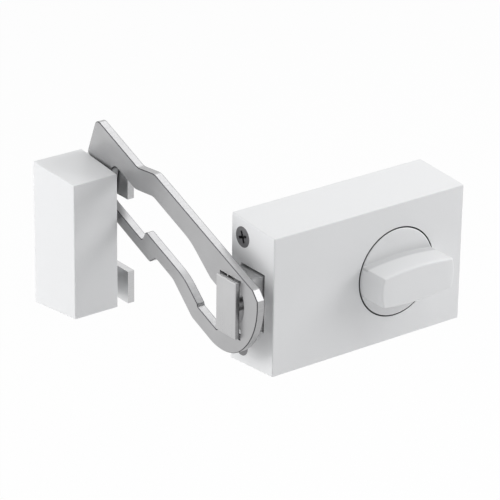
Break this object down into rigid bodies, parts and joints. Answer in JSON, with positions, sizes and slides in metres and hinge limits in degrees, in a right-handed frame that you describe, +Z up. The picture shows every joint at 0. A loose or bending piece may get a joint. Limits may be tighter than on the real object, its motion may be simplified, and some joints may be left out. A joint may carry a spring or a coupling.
{
  "type": "rim lock",
  "caption": "Surface-mounted rim lock case with a knob and dead bolt, its strike box, and a hinged slotted bow that lets the door open by a hand's width.",
  "frame": {"origin": "centre of the key cylinder's hole in the base plate, on the door's surface, which is also the knob's axis", "axes": "+Y into the door, +X along the case away from the bolt, +Z up; the strike stands at -X, further along +Y because the door is shown ajar"},
  "size_m": [0.127, 0.1259, 0.0765],
  "materials": {
    "case_enamel": "satin",
    "knob_enamel": "satin",
    "strike_enamel": "satin",
    "bow_steel": "satin",
    "bolt_steel": "satin",
    "plate_steel": "satin",
    "screw_steel": "satin",
    "hard_steel": "satin",
    "gear_brass": "satin"
  },
  "bodies": {
    "case": {"case_cover": "case_enamel", "base_plate": "plate_steel", "end_flange": "plate_steel", "hook_ear": "plate_steel", "end_screws": "screw_steel", "guide_bridge": "plate_steel", "rack_rail": "plate_steel", "pinion_bridge": "plate_steel", "knob_retainer": "plate_steel", "retainer_screws": "screw_steel"},
    "knob": {"knob": "knob_enamel", "drive_spindle": "hard_steel", "pinion": "gear_brass", "pinion_clip": "hard_steel"},
    "bolt": {"bolt_body": "bolt_steel", "bolt_head": "bolt_steel", "hardened_pins": "hard_steel"},
    "strike": {"strike_cover": "strike_enamel", "strike_bracket": "plate_steel", "cover_screws": "screw_steel", "pivot_pin": "hard_steel", "pivot_clip": "hard_steel"},
    "bow": {"bow": "bow_steel", "bow_bush": "gear_brass"}
  },
  "joints": [
    {"name": "knob_turn", "type": "hinge", "parent": "case", "child": "knob", "pos_m": [0, -0.0264, 0], "axis": [0, 1, 0], "range_deg": [0, 90]},
    {"name": "bolt_slide", "type": "slide", "parent": "case", "child": "bolt", "axis": [1, 0, 0], "range_m": [0, 0.0125]},
    {"name": "door_slide", "type": "slide", "parent": "case", "child": "strike", "axis": [0, -1, 0], "range_m": [-0.003, 0.035]},
    {"name": "bow_swing", "type": "hinge", "parent": "strike", "child": "bow", "pos_m": [-0.069, 0.07485, 0.02245], "axis": [1, 0, 0], "range_deg": [-0.6, 6.4]}
  ],
  "couplings": [
    {"joint": "knob_turn", "follows": "bolt_slide", "rad_per_m": 125},
    {"joint": "bow_swing", "follows": "door_slide", "rad_per_m": 3.1416}
  ]
}
